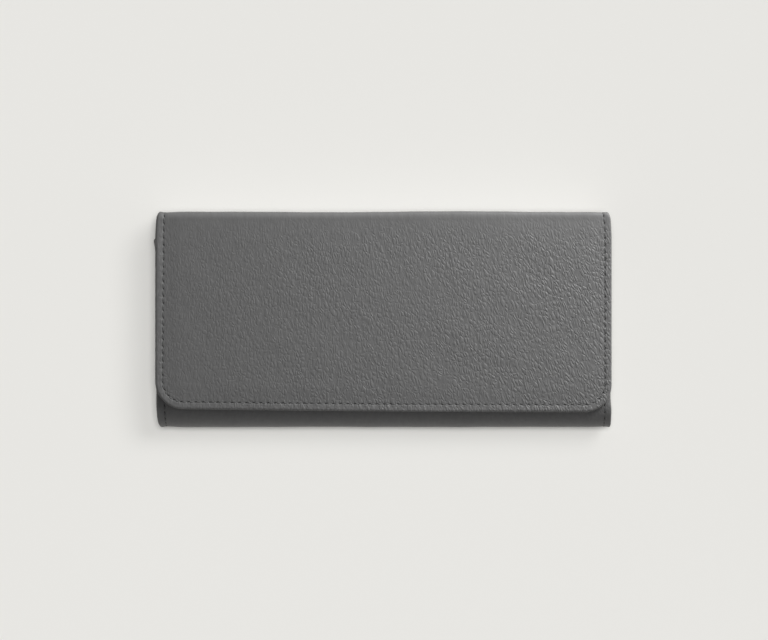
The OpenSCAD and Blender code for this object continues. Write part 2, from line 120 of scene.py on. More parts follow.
# The flare at the mouth's left: how far out, how far below the mouth, its length, and where it starts across
MOUTH_FLARE = 1.15
FLARE_DROP = 0.5
FLARE_LEN = 5.0
FLARE_START_SHARE = 0.8

# Narrowing of the cover where it runs over the folds
CORNER_DRAW = 3.0
DRAW_START = 0.35
DRAW_LEN = 12.0
LEFT_EASE = 0.15
RIGHT_EASE = 0.95

# How far the bottom fold stands out at the right, and where it starts to, from the fold's edge
FOLD_BULGE = 0.45
BULGE_START = -1.5
BULGE_FULL = 3.5

# The seam that runs round the cover, a little further in at the left than at the right
SEAM_INSET = 3.2
SHIFT_LEFT = 0.5
SHIFT_RIGHT = 0.2
PITCH = 3.2
THREAD_R = 0.17

# How much of its shift the left seam loses towards the flap's edge, and of its draw-in at the folds
SEAM_TILT = 0.45
SEAM_EASE = 0.5

# The seam's groove: its width, its depth between the stitches, and how much deeper it is at them
GROOVE_W = 0.35
GROOVE_DEPTH = 0.04
STITCH_DENT = 0.14

# The hem's raised margin, how much higher it is at the left, and where that starts and is full
MARGIN_RISE = 0.14
MARGIN_INSET = 0.9
MARGIN_W = 1.3
LEFT_RISE = 0.12
LEFT_SHARES = (0.9, 0.97)

# The padded middle, and the widths over which the relief starts at the edge
PILLOW_RISE = 0.22
PILLOW_W = 7
RELIEF_START = 0.7
SWELL_START = 0.9

# Fields of waves, each as height, length of its features and random seed
SWELL = (0.12, 45, 3)
SMALL_SWELL = (0.035, 13, 5)
TOP_WAVES = (0.1, 60, 9)
GRAIN_PATCHES = (0.1, 22, 8)
PULL_PATCHES = (0.5, 30, 51)
POCKET_WAVES = (0.03, 18, 31)
GUSSET_WAVES = (0.04, 9, 41)

# Sampling of the sheets and seams
FINE = PITCH / 6
COARSE = PITCH / 3.5
SEAM_ROW = 0.05
SEAM_STEP = 0.1
CORNER_STEPS = 40
RIM_STEPS = 6
ARC_STEP = 3

# How square the rims are (2 is round), and the depth at which the grain turns over them
RIM_POWER = 3
RIM_START = 0.5
TINY = 1e-9


def smooth(low, high, x):
    """Rises smoothly from 0 at low to 1 at high."""
    t = np.clip((np.asarray(x, float) - low) / (high - low), 0, 1)
    return t * t * (3 - 2 * t)


def bell(x, middle, width):
    """Round bump of height 1 about middle."""
    return np.exp(-(((np.asarray(x, float) - middle) / width) ** 2))


def mound(x, shape):
    """Round bump of that height, middle and width."""
    height, middle, width = shape
    return height * bell(x, middle, width)


def ripple(u, v, field):
    """Smooth uneven field of that height, length of its features and random seed."""
    height, length, seed = field
    draw = np.random.default_rng(seed)
    waves = 6
    total = 0.0
    for _ in range(waves):
        angle, phase = draw.uniform(0, TURN, 2)
        wave = length * draw.uniform(1.2, 2.6)
        total = total + np.sin(TURN * (u * math.cos(angle) + v * math.sin(angle)) / wave + phase)
    return height * (total / math.sqrt(waves))


class Track:
    """A path in a plane, straight between round corners, read by the length along it."""

    def __init__(self, points, radii):
        points = [np.array(p, float) for p in points]
        samples = [(points[0], self.right_of(self.heading(points[0], points[1])))]
        ends = []
        for i, radius in enumerate(radii, 1):
            d0, d1 = self.heading(points[i - 1], points[i]), self.heading(points[i], points[i + 1])
            turn = math.atan2(d0[0] * d1[1] - d0[1] * d1[0], d0 @ d1)
            side = math.copysign(1, turn)
            first = points[i] - d0 * radius * math.tan(abs(turn) / 2)
            centre = first - side * radius * self.right_of(d0)
            steps = max(2, math.ceil(abs(math.degrees(turn)) / ARC_STEP))
            ends.append((len(samples), len(samples) + steps))
            for k in range(steps + 1):
                c, s = math.cos(turn * k / steps), math.sin(turn * k / steps)
                right = self.right_of((c * d0[0] - s * d0[1], s * d0[0] + c * d0[1]))
                samples.append((centre + side * radius * right, right))
        samples.append((points[-1], self.right_of(self.heading(points[-2], points[-1]))))
        self.points, self.normals = (np.array(part) for part in zip(*samples))
        steps = np.linalg.norm(np.diff(self.points, axis=0), axis=1)
        self.lengths = np.concatenate([[0], np.cumsum(steps + TINY)])
        self.marks = [(self.lengths[a], self.lengths[b]) for a, b in ends]
        self.end = self.lengths[-1]

    @staticmethod
    def heading(a, b):
        """Unit vector from a to b."""
        return (b - a) / np.linalg.norm(b - a)

    @staticmethod
    def right_of(d):
        """The direction at the right of d."""
        return np.array([d[1], -d[0]])

    def at(self, v):
        """Points and unit normals at the lengths v."""
        point, normal = (np.stack([np.interp(v, self.lengths, values[:, k]) for k in (0, 1)], -1)
                         for values in (self.points, self.normals))
        return point, normal / np.linalg.norm(normal, axis=-1, keepdims=True)


# Outer face of the cover: front panel, bottom fold, back panel, spine and flap
COVER = Track(
    [(MOUTH_Y, BODY_T), (BOTTOM_Y, BODY_T), (BOTTOM_Y, 0), (SPINE_Y, 0), (SPINE_Y, TOTAL_T),
     (FLAP_EDGE_Y, TOTAL_T)],
    [FOLD_R, FOLD_R, SPINE_R, FLAP_FOLD_R],
)
V_FOLD, V_APEX = COVER.marks[0]
V_BACK = COVER.marks[1][1]
V_SHOULDER, V_SPINE = COVER.marks[2]
V_TURN, V_FLAP = COVER.marks[3]
V_SPINE_MID = (V_SPINE + V_TURN) / 2
V_TOP = (V_TURN + V_FLAP) / 2
V_BACK_SEAM = V_SHOULDER - 2 * BOARD_STOP
V_END = COVER.end


def draw_in(y):
    """How far the side edges draw in near the ends of the folds."""
    past = np.clip(SPINE_Y - np.abs(y), 0, None)
    return CORNER_DRAW * np.exp(-np.sqrt(past + DRAW_START)) * (1 - smooth(DRAW_LEN / 2, DRAW_LEN, past))


def half_width(v):
    """Half of the cover's width, which draws in over the folds."""
    wide = HALF_BODY + (HALF_FLAP - HALF_BODY) * smooth(V_SHOULDER, V_SPINE, v)
    return wide - draw_in(COVER.at(v)[0][..., 0])


def on_cover(u, v, depth):
    """World points of cover coordinates: u across, v along the outer face, depth below it."""
    point, normal = COVER.at(v)
    yz = point - normal * depth[..., None]
    across = u / HALF_FLAP
    yz[..., 0] -= (FLAP_SKEW * across + FLAP_BOW * (1 - across**2)) * smooth(V_FLAP, V_END, v)
    flare = MOUTH_FLARE * bell(v, FLARE_DROP, FLARE_LEN) * smooth(-FLARE_START_SHARE, -1, across)
    ease = (RIGHT_EASE * smooth(0, 1, across) - LEFT_EASE * smooth(0, -1, across)) * (point[..., 0] < 0)
    near_fold = smooth(V_FOLD + BULGE_START, V_FOLD + BULGE_FULL, v) * (1 - smooth(V_APEX, V_BACK, v))
    bulge = FOLD_BULGE * smooth(0, 1, across) * near_fold
    at_left = SHIFT_LEFT - SEAM_TILT * smooth(V_FLAP, V_END, v)
    shift = at_left + (SHIFT_RIGHT - at_left) * (1 + across) / 2
    shift -= SEAM_EASE * smooth(0, -1, across) * draw_in(point[..., 0])
    shift = shift * smooth(0, SEAM_INSET, half_width(v) - np.abs(u))
    x = u - flare + ease * draw_in(point[..., 0]) + bulge + shift
    return np.stack([x, yz[..., 0], yz[..., 1]], -1) * MM


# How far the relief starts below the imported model's outer face, on the back and round the folds
BACK_SINK = 0.6
FOLD_SINK = 0.42
FOLD_SINK_W = 12

# Mounds along the cover: the outer ridge at the top fold, its extra height at the right, a bump at the left
TOP_RIDGE = (0.45, V_TOP, 1.6)
TOP_CREASE = (0.4, V_TOP, 1.2)
TOP_WAVE_W = 6
LEFT_BUMP = (0.25, V_FLAP + 13, 9)

# Mound of the leather that puckers between the stitches, beside the seam
PUCKER = (0.09, SEAM_INSET - 0.7, 0.45)


def cover_swell(u, v):
    """Slow unevenness of the cover, less what it lies below its plane on the back and round the folds."""
    uneven = ripple(u, v, SWELL) + ripple(u, v, SMALL_SWELL)
    at_right = smooth(-0.5, 0.5, u / HALF_FLAP)
    top_edge = ripple(u, 0 * v, TOP_WAVES) * bell(v, V_TOP, TOP_WAVE_W)
    top_edge += mound(v, TOP_RIDGE) + at_right * mound(v, TOP_CREASE)
    back = smooth(V_APEX, V_BACK, v) * (1 - smooth(V_SHOULDER, V_SPINE, v))
    spine = smooth(V_SHOULDER, V_SPINE, v) * (1 - smooth(V_TURN, V_FLAP, v))
    folds = bell(v, V_APEX, FOLD_SINK_W) + spine
    return uneven + top_edge - BACK_SINK * back - FOLD_SINK * folds * (1 - back)


THREAD_BED = 0.06


def thread_depth(u, v):
    """Depth of the leather below the outer stitches."""
    return THREAD_BED - cover_swell(u, v)


def cover_relief(u, v, e, t):
    """How far the cover's outer face stands proud of its plane."""
    stitch = 0.5 + 0.5 * np.cos(TURN * t)
    groove = bell(e, SEAM_INSET, GROOVE_W) * (GROOVE_DEPTH + STITCH_DENT * stitch)
    left = smooth(*LEFT_SHARES, -u / HALF_FLAP) * (LEFT_RISE + mound(v, LEFT_BUMP))
    margin = (MARGIN_RISE + left) * bell(e, MARGIN_INSET, MARGIN_W) + (1 - stitch) * mound(e, PUCKER)
    pillow = PILLOW_RISE * smooth(SEAM_INSET, SEAM_INSET + PILLOW_W, e)
    swell = smooth(0, SWELL_START, e) * cover_swell(u, v)
    return smooth(0, RELIEF_START, e) * (margin + pillow - groove) + swell


def cover_recess(u, v, e):
    """How much thinner the cover is where a board lies in it."""
    flat = (v < V_FOLD - BOARD_STOP) | ((v > V_BACK + BOARD_STOP) & (v < V_SHOULDER - BOARD_STOP))
    flat |= v > V_FLAP + BOARD_STOP
    spine = (v > V_SPINE + BOARD_STOP) & (v < V_TURN - BOARD_STOP)
    return np.where((e > HEM_W - HEM_STEP) & (flat | spine), SKIN_T - LEATHER_T + BOARD_GAP, 0)


# The grain grows from left to right: places across the cover, the share of it there, and its range
GRAIN_PLACES = [-100, -80, -35, 15, 60, 85]
GRAIN_SHARES = [0.27, 0.34, 0.48, 0.53, 0.66, 0.75]
GRAIN_RANGE = (0.05, 1.4)

# Mounds of what the top fold, the bottom fold and the spine's foot take away of the grain
GRAIN_LOSSES = [(0.93, V_TOP - 1, 9), (0.9, V_APEX, 22), (0.7, (V_SHOULDER + V_SPINE) / 2, 7)]


def cover_grain(u, v):
    """Strength of the pebbled grain, weak at the left and over the folds."""
    grain = np.interp(u, GRAIN_PLACES, GRAIN_SHARES) * (1 + ripple(u, v, GRAIN_PATCHES))
    for loss in GRAIN_LOSSES:
        grain = grain * (1 - mound(v, loss))
    return np.clip(grain, *GRAIN_RANGE)


# The pebbles' lean at the left and right edge, as a slope
LEAN_LEFT = -0.15
LEAN_RIGHT = 0.25


def cover_lean(u, v):
    """How far the grain's pattern is pushed across, which makes the pebbles lean."""
    slope = LEAN_LEFT + (LEAN_RIGHT - LEAN_LEFT) * (1 + u / HALF_FLAP) / 2
    return ((V_FLAP + V_END) / 2 - v) * slope


# Mounds of the lines where the leather is pulled round the top and bottom fold
TOP_PULL = (0.75, V_FLAP + 4, 9)
BOTTOM_PULL = (0.8, V_FOLD + 6, 11)
PULL_LEVEL = 0.7
MOST_PULL = 1.2


def cover_stretch(u, v):
    """Share of the lines that the leather shows where it is pulled round a fold."""
    folds = mound(v, TOP_PULL) * smooth(V_TURN, V_FLAP, v) + mound(v, BOTTOM_PULL)
    return folds * np.clip(PULL_LEVEL + ripple(u, 0 * v, PULL_PATCHES), 0, MOST_PULL)


def edge_insets(thickness, rings=()):
    """Distances from the edge at which a sheet has grid lines: a rounded rim and the given rings."""
    turns = [math.cos(math.pi / 2 * k / RIM_STEPS) for k in range(RIM_STEPS + 1)]
    rim = [thickness / 2 * (1 - turn ** (2 / RIM_POWER)) for turn in turns]
    return np.array(sorted(set(rim) | {r for r in rings if r > rim[-1]}))


# Grid lines beside the cover's seam and at its hem's step
SEAM_RINGS = [SEAM_INSET + d for d in (-1.5, -1.1, -0.75, -0.45, -0.2, 0, 0.2, 0.45, 0.75)]
COVER_RINGS = SEAM_RINGS + [HEM_W - HEM_STEP - 0.1, HEM_W - HEM_STEP + 0.1, HEM_W + 0.3]


def grid_lines(low, high, insets, spacing, free_low=True, free_high=True):
    """Grid lines from low to high: the insets at free ends, a tight row at seams, even steps between."""
    start = low + insets if free_low else np.array([low, low + SEAM_ROW])
    stop = high - insets[::-1] if free_high else np.array([high - SEAM_ROW, high])
    count = max(1, round((stop[0] - start[-1]) / spacing))
    middle = np.linspace(start[-1], stop[0], count + 1)
    return np.concatenate([start[:-1], middle, stop[1:]])


def round_corner(e_u, e_v, radius):
    """Where a corner is, the edge distances with its square rings bent round it, and the angle round it."""
    p, q = 1 - e_u / radius, 1 - e_v / radius
    inside = (p > 0) & (q > 0)
    big = np.where(inside, np.maximum(p, q), 1)
    small = np.where(inside, np.minimum(p, q), 0)
    angle = math.pi / 4 * small / big
    angle = np.where(q > p, math.pi / 2 - angle, angle)
    new_u = radius - radius * big * np.cos(angle)
    new_v = radius - radius * big * np.sin(angle)
    return inside, new_u, new_v, np.where(inside, angle, np.where(e_v < e_u, math.pi / 2, 0))


def coarse_lines(lines, keep_low, keep_high, stride):
    """Indices of every few lines, with all of the first and last ones kept."""
    last = len(lines) - 1
    chosen = set(range(min(keep_low, last) + 1)) | set(range(max(last - keep_high, 0), last + 1))
    return sorted(chosen | set(range(0, last + 1, stride)))


def add_object(name, data):
    """A new object in the scene."""
    made = bpy.data.objects.new(name, data)
    bpy.context.scene.collection.objects.link(made)
    return made


def make_mesh(name, points, faces, material, attributes):
    """A smooth closed mesh object with outward faces."""
    mesh = bpy.data.meshes.new(name)
    mesh.from_pydata(points.tolist(), [], faces)
    work = bmesh.new()
    work.from_mesh(mesh)
    bmesh.ops.recalc_face_normals(work, faces=work.faces)
    work.to_mesh(mesh)
    work.free()
    for key, values in attributes.items():
        layer = mesh.attributes.new(key, "FLOAT_VECTOR", "POINT")
        layer.data.foreach_set("vector", np.ascontiguousarray(values, np.float32).ravel())
    mesh.shade_smooth()
    mesh.materials.append(material)
    return add_object(name, mesh)


def round_ends(u, v, half, v_low, v_high, r_low, r_high, inset):
    """Grid points with round corners at the free ends, their edge distance and length along the seam."""
    far = 10 * (v_high - v_low + half)
    e_u = half - np.abs(u)
    e_low = v - v_low if r_low is not None else np.full_like(v, far)
    e_high = v_high - v if r_high is not None else np.full_like(v, far)
    e = np.minimum(np.minimum(e_u, e_low), e_high)
    t = v.copy()
    for radius, end, sign, e_v, other in ((r_low, v_low, -1, e_low, e_high),
                                          (r_high, v_high, 1, e_high, e_low)):
        if radius is None:
            continue
        inside, new_u, new_v, angle = round_corner(e_u, e_v, radius)
        u = np.where(inside, np.sign(u) * (half - new_u), u)
        v = np.where(inside, end - sign * new_v, v)
        turn_v = end - sign * max(radius, inset)
        bend = max(radius - inset, 0)
        run = half - max(radius, inset)
        past = bend * angle + np.clip(run - np.abs(u), 0, None) * (angle > 1.5)
        length = turn_v + sign * end_stretch(turn_v, bend, run, sign) * past
        t = np.where((angle > 0) & (e_v < other), length, t)
    return u, v, e, t


def sheet_faces(e, rows_i, rows_j, free_low, free_high):
    """Faces of a sheet, and the grid points that its coarser under side has of its own."""
    nu, nv = e.shape
    top_id = np.arange(nu * nv).reshape(nu, nv)
    quads = np.stack([top_id[:-1, :-1], top_id[1:, :-1], top_id[1:, 1:], top_id[:-1, 1:]], -1)
    faces = quads.reshape(-1, 4).tolist()
    under = top_id.copy()
    own = [(i, j) for i in rows_i for j in rows_j if e[i, j] > TINY]
    for count, (i, j) in enumerate(own):
        under[i, j] = nu * nv + count

    def along(i0, i1, j0, j1):
        """Under-side points from one corner to the next, with the rim's fine ones between."""
        first = under[i0, j0]
        if i0 == i1 and i0 in (0, nu - 1):
            step = 1 if j1 > j0 else -1
            return [first] + [top_id[i0, j] for j in range(j0 + step, j1, step)]
        if j0 == j1 and ((j0 == 0 and free_low) or (j0 == nv - 1 and free_high)):
            step = 1 if i1 > i0 else -1
            return [first] + [top_id[i, j0] for i in range(i0 + step, i1, step)]
        return [first]

    for i0, i1 in zip(rows_i, rows_i[1:]):
        for j0, j1 in zip(rows_j, rows_j[1:]):
            walk = ((i0, i0, j0, j1), (i0, i1, j1, j1), (i1, i1, j1, j0), (i1, i0, j0, j0))
            faces.append([int(k) for leg in walk for k in along(*leg)])
        for j, free in ((0, free_low), (nv - 1, free_high)):
            if not free:
                cap = [top_id[i, j] for i in range(i0, i1 + 1)] + [under[i1, j], under[i0, j]]
                faces.append([int(k) for k in dict.fromkeys(cap)])
    return faces, tuple(np.array(own).T)


def sheet(name, material, half, v_low, v_high, r_low, r_high, thickness, place, spacing, rings=(),
          relief=None, recess=None, widths=None, grain=None, pull=None, lean=None, skin=0.0,
          inset=SEAM_INSET, stride=4):
    """A closed sheet of constant thickness with a rounded rim, bent into place.

    u runs from -half to half and v from v_low to v_high. r_low and r_high are the corner radii of its ends,
    or None where the end is cut square and another sheet carries on. skin is the depth of its outer face, and
    inset the distance of its seam from the edge.
    """
    free_low, free_high = r_low is not None, r_high is not None
    insets = edge_insets(thickness, rings)
    us = grid_lines(-half, half, insets, spacing)
    vs = grid_lines(v_low, v_high, insets, spacing, free_low, free_high)
    u, v = np.meshgrid(us, vs, indexing="ij")
    u, v, e, t = round_ends(u, v, half, v_low, v_high, r_low, r_high, inset)
    if widths:
        u = u * widths(v) / half
    t = t / PITCH
    rim = thickness / 2
    inward = np.clip(1 - e / rim, 0, 1)
    arc = rim * (1 - inward**RIM_POWER) ** (1 / RIM_POWER)
    top = skin + rim - arc - (relief(u, v, e, t) if relief else 0)
    low = skin + rim + arc - (recess(u, v, e) if recess else 0)
    strength = grain(u, v) if grain else np.ones_like(u)
    pulled = pull(u, v) if pull else np.zeros_like(u)
    leaning = lean(u, v) * MM if lean else np.zeros_like(u)
    rows_i = coarse_lines(us, len(insets), len(insets), stride)
    rows_j = coarse_lines(vs, len(insets) if free_low else 1, len(insets) if free_high else 1, stride)
    faces, own = sheet_faces(e, rows_i, rows_j, free_low, free_high)

    def both(outer, under):
        """Values at the outer face's points, then at the under side's own."""
        return np.concatenate([outer.ravel(), under[own]])

    all_u, all_v, depth = both(u, u), both(v, v), both(top, low)
    attributes = {
        "flat": np.stack([all_u, all_v, depth], -1) * MM,
        "seam": np.stack([both(t, t), both(e, e) - inset, both(strength, strength)], -1),
        "fold": np.stack([both(pulled, pulled), both(leaning, leaning), 0 * all_u], -1),
    }
    return make_mesh(name, place(all_u, all_v, depth), faces, material, attributes)


def end_stretch(turn_v, bend, run, sign):
    """Scale of the stitch length past a corner that puts a needle hole at the middle of the end."""
    length = bend * math.pi / 2 + run
    middle = round((turn_v + sign * length) / PITCH) * PITCH
    return sign * (middle - turn_v) / length


def seam_row(half, v_low, v_high, r_low=None, r_high=None, inset=SEAM_INSET, widths=None):
    """Stitch lengths and sheet coordinates along a seam: the right side, then half of a free end."""
    a = v_low + (max(r_low, inset) if r_low is not None else 0)
    b = v_high - (max(r_high, inset) if r_high is not None else 0)
    side = np.linspace(a, b, max(2, int((b - a) / SEAM_STEP)))
    t, u, v = [side], [np.full_like(side, half - inset)], [side]
    for radius, sign, turn_v in ((r_high, 1, b), (r_low, -1, a)):
        if radius is None:
            continue
        bend = max(radius - inset, 0)
        run = half - max(radius, inset)
        stretch = end_stretch(turn_v, bend, run, sign)
        angle = np.linspace(0, math.pi / 2, CORNER_STEPS)[1:] if bend else np.array([])
        line = np.linspace(run, 0, int(run / SEAM_STEP))
        new_t = turn_v + sign * stretch * np.concatenate([bend * angle, bend * math.pi / 2 + run - line])
        new_u = np.concatenate([run + bend * np.cos(angle), line])
        new_v = turn_v + sign * bend * np.concatenate([np.sin(angle), np.ones_like(line)])
        if sign > 0:
            t, u, v = t + [new_t], u + [new_u], v + [new_v]
        else:
            t, u, v = [new_t[::-1]] + t, [new_u[::-1]] + u, [new_v[::-1]] + v
    t, u, v = (np.concatenate(x) for x in (t, u, v))
    if widths:
        u = u * widths(v) / half
    return t, u, v


# Each stitch: its length as a share of the pitch, slant and sampling, then shares of the thread's radius
STITCH_SHARE = 0.62
STITCH_SLANT = 0.1
STITCH_RINGS = 7
STITCH_SIDES = 6
SINK_SHARE = 0.6
DIVE_SHARE = 1.6
TAPER_SHARE = 0.35
FLAT_SHARE = 0.8


def tube_faces(rings, sides, base=0):
    """Faces of a closed tube whose points run ring by ring from base on."""
    last = base + (rings - 1) * sides
    faces = [[row + k, row + (k + 1) % sides, row + (k + 1) % sides + sides, row + k + sides]
             for row in range(base, last, sides) for k in range(sides)]
    return faces + [list(range(base + sides - 1, base - 1, -1)), list(range(last, last + sides))]


def stitches(name, material, rows, place, depth, radius=THREAD_R, rise=1):
    """Threads of a seam, each one a short arch whose ends dive into the leather.

    rows holds (t, u, v) arrays. depth is that of the leather under the thread, a number or a function.
    rise is 1 where the thread stands up towards the outer face, or -1 on the inner face.
    """
    s = np.linspace(-1, 1, STITCH_RINGS)
    phi = np.linspace(0, TURN, STITCH_SIDES, endpoint=False)
    fat = radius * (1 - TAPER_SHARE * np.abs(s) ** 4)
    dive = rise * radius * (DIVE_SHARE * np.abs(s) ** 3 - SINK_SHARE)
    aside = (STITCH_SLANT * s)[:, None] + fat[:, None] * np.cos(phi)
    above = fat[:, None] * FLAT_SHARE * np.sin(phi)
    points, flat, faces = [], [], []
    for t, u, v in rows:
        for n in range(math.ceil(t[0] / PITCH), math.floor(t[-1] / PITCH)):
            middle = (n + 0.5) * PITCH
            if middle < t[0] or middle > t[-1]:
                continue
            at = middle + s * PITCH * STITCH_SHARE / 2
            cu, cv = np.interp(at, t, u), np.interp(at, t, v)
            du, dv = np.gradient(cu), np.gradient(cv)
            step = np.hypot(du, dv)
            ring_u = cu[:, None] - (dv / step)[:, None] * aside
            ring_v = cv[:, None] + (du / step)[:, None] * aside
            under = depth(cu, cv) if callable(depth) else depth
            ring_d = (under + dive)[:, None] - above
            faces += tube_faces(STITCH_RINGS, STITCH_SIDES, len(points) * STITCH_RINGS * STITCH_SIDES)
            points.append(place(ring_u.ravel(), ring_v.ravel(), ring_d.ravel()))
            along, around = np.repeat(at, STITCH_SIDES) * MM, np.tile(phi, STITCH_RINGS)
            flat.append(np.stack([along, around, 0 * around], -1))
    return make_mesh(name, np.concatenate(points), faces, material, {"flat": np.concatenate(flat)})


def both_sides(row):
    """A seam row and its mirror image."""
    t, u, v = row
    return [row, (t, -u, v)]


class Nodes:
    """A node tree that is built by short calls."""

    def __init__(self, tree):
        self.tree = tree

    def node(self, kind, inputs=(), out=0, **settings):
        made = self.tree.nodes.new("ShaderNode" + kind)
        for key, value in settings.items():
            setattr(made, key, value)
        for key, value in dict(inputs).items():
            self.feed(made.inputs[key], value)
        return made.outputs[out]

    def feed(self, socket, value):
        if isinstance(value, bpy.types.NodeSocket):
            self.tree.links.new(value, socket)
        else:
            socket.default_value = value

    def math(self, operation, a, b=0.0, clamp=False):
        return self.node("Math", {0: a, 1: b}, operation=operation, use_clamp=clamp)

    def plus(self, a, b):
        return self.math("ADD", a, b)

    def minus(self, a, b):
        return self.math("SUBTRACT", a, b)

    def times(self, a, b, clamp=False):
        return self.math("MULTIPLY", a, b, clamp)

    def rise(self, value, low, high, to_low=0.0, to_high=1.0):
        return self.node("MapRange", {"Value": value, "From Min": low, "From Max": high, "To Min": to_low,
                                      "To Max": to_high}, interpolation_type="SMOOTHSTEP")

    def mix(self, factor, a, b):
        return self.node("Mix", {0: factor, 6: a, 7: b}, 2, data_type="RGBA")

    def attribute(self, name):
        return self.node("Attribute", out="Vector", attribute_name=name)

    def parts(self, vector):
        made = self.tree.nodes.new("ShaderNodeSeparateXYZ")
        self.feed(made.inputs[0], vector)
        return made.outputs

    def noise(self, vector, scale, detail=2.0, out=0, **more):
        return self.node("TexNoise", {"Vector": vector, "Scale": scale, "Detail": detail, **more}, out)

    def bump(self, height, distance):
        return self.node("Bump", {"Height": height, "Distance": distance, "Strength": 1.0})


class Shader(Nodes):
    """The nodes of a new material."""

    def __init__(self, name):
        self.material = bpy.data.materials.new(name)
        self.material.use_nodes = True
        super().__init__(self.material.node_tree)

    def finish(self, colour, roughness, normal=None, **values):
        inputs = self.tree.nodes["Principled BSDF"].inputs
        self.feed(inputs["Base Color"], colour)
        self.feed(inputs["Roughness"], roughness)
        if normal is not None:
            self.feed(inputs["Normal"], normal)
        for key, value in values.items():
            inputs[key].default_value = value
        return self.material


def tint(level, red, green, blue):
    """A colour of that linear level."""
    return (level * red, level * green, level * blue, 1)


def grey(level, warm=0.0):
    """A grey of that linear level, a little warm or cool."""
    return tint(level, 1 + warm, 1, 1 - warm)


# How far noise sways the grain's cells, and the size of the pores and of the lines where leather is pulled
GRAIN_SWAY = (2.2, 2.2, 0)
PORE_SIZE = 0.3
PULLED_CELL = (0.8, 9.0)

# What each pattern adds to the height of the grain, and what a needle hole takes away
CELL_RISE = 0.95
FOLD_RISE = 0.45
PORE_RISE = 0.06
LINE_RISE = 0.55
HOLE_DROP = 1.3

# Needle holes, where full and where gone: half their length as a share of the pitch, half their width; slant
HOLE_SHARES = (0.10, 0.20)
HOLE_WIDTHS = (0.10, 0.31)
HOLE_SLANT = math.tan(math.radians(16))

# How far from the middle of the skin its cut edge shows in full, and where it has faded
EDGE_BAND = (0.35 * MM, 0.8 * MM)
LEATHER_WARMTH = 0.004


def needle_holes(s, t, from_seam):
    """1 in the needle holes of a seam and 0 elsewhere."""
    along = s.minus(s.math("FRACT", s.plus(t, 0.5)), 0.5)
    aside = s.minus(from_seam, s.times(along, HOLE_SLANT * PITCH))
    lengthwise = s.rise(s.math("ABSOLUTE", along), *HOLE_SHARES, 1.0, 0.0)
    crosswise = s.rise(s.math("ABSOLUTE", aside), *HOLE_WIDTHS, 1.0, 0.0)
    return s.times(lengthwise, crosswise)


def leather(name, level, cell, height, roughness, edge_level=None, holes=True):
    """Grained leather. cell is the grain's width and length; holes are the needle holes of the seams."""
    s = Shader(name)
    flat = s.attribute("flat")
    across, down, depth = s.parts(flat)
    t, from_seam, strength = s.parts(s.attribute("seam"))
    share, lean, _ = s.parts(s.attribute("fold"))
    rim_depth = s.minus(s.math("MAXIMUM", depth, RIM_START * MM), RIM_START * MM)
    leaning = s.node("CombineXYZ", {0: s.plus(across, lean), 1: down, 2: rim_depth})
    size = (cell[0] * MM, cell[1] * MM, cell[0] * MM)
    stretched = s.node("Mapping", {"Vector": leaning, "Scale": size}, vector_type="TEXTURE")
    sway = s.noise(stretched, 0.45, out="Color")
    warped = s.node("VectorMath", {0: sway, 1: GRAIN_SWAY, 2: stretched}, operation="MULTIPLY_ADD")
    pebble = s.node("TexVoronoi", {"Vector": warped, "Scale": 1.0, "Smoothness": 0.5}, feature="SMOOTH_F1")
    crease = s.node("TexVoronoi", {"Vector": warped, "Scale": 1.0}, feature="DISTANCE_TO_EDGE")
    fold = s.noise(stretched, 0.5, 3.0, Roughness=0.6)
    pore = s.noise(flat, 1 / (PORE_SIZE * MM))
    cells = s.minus(s.rise(crease, 0.0, 0.3), s.times(pebble, 0.5))
    grain = s.plus(s.times(cells, CELL_RISE), s.times(fold, FOLD_RISE))
    grain = s.plus(s.times(grain, strength), s.times(pore, PORE_RISE))
    line_cell = (PULLED_CELL[0] * MM, PULLED_CELL[1] * MM, 1.0)
    pulled = s.node("Mapping", {"Vector": flat, "Scale": line_cell}, vector_type="TEXTURE")
    lines = s.noise(pulled, 1.0, Distortion=0.3)
    grain = s.plus(grain, s.times(s.times(lines, LINE_RISE), share))
    dark, light = grey(level * 0.94, LEATHER_WARMTH), grey(level * 1.05, LEATHER_WARMTH)
    colour = s.mix(s.rise(fold, 0.3, 0.7), dark, light)
    # Painted shade: the grain's creases are darkened towards half the leather's level, more where the grain
    # is strong
    shade = s.times(s.rise(crease, 0.0, 0.12, 1.0, 0.0), s.times(strength, 0.32, True))
    colour = s.mix(shade, colour, grey(level * 0.5))
    if edge_level is not None:
        from_middle = s.math("ABSOLUTE", s.minus(depth, SKIN_T / 2 * MM))
        rim = s.rise(from_middle, *EDGE_BAND, 0.75, 0.0)
        colour = s.mix(rim, colour, tint(edge_level, 1.03, 1, 0.9))
    if holes:
        hole = needle_holes(s, t, from_seam)
        # Painted shade: the needle holes are coloured nearly black, as well as sunk into the grain
        colour = s.mix(s.times(hole, 0.8), colour, grey(level * 0.12))
        grain = s.minus(grain, s.times(hole, HOLE_DROP))
    rough = s.rise(grain, 0.0, 1.2, roughness + 0.06, roughness - 0.06)
    return s.finish(colour, rough, s.bump(grain, height * MM), IOR=1.45)


STRAND_LEN = 0.55


def thread(name, level):
    """Twisted thread: slanted strands round its length."""
    s = Shader(name)
    along, around, _ = s.parts(s.attribute("flat"))
    twist = s.times(along, TURN / (STRAND_LEN * MM))
    strand = s.math("SINE", s.plus(twist, s.times(around, 3.0)))
    # Painted shade and highlight: the thread is darker in the grooves between its strands and lighter on
    # their crests
    colour = s.mix(s.rise(strand, -1, 1), grey(level * 0.75), grey(level * 1.15))
    return s.finish(colour, s.rise(strand, -1, 1, 0.65, 0.5), s.bump(strand, 0.03 * MM))


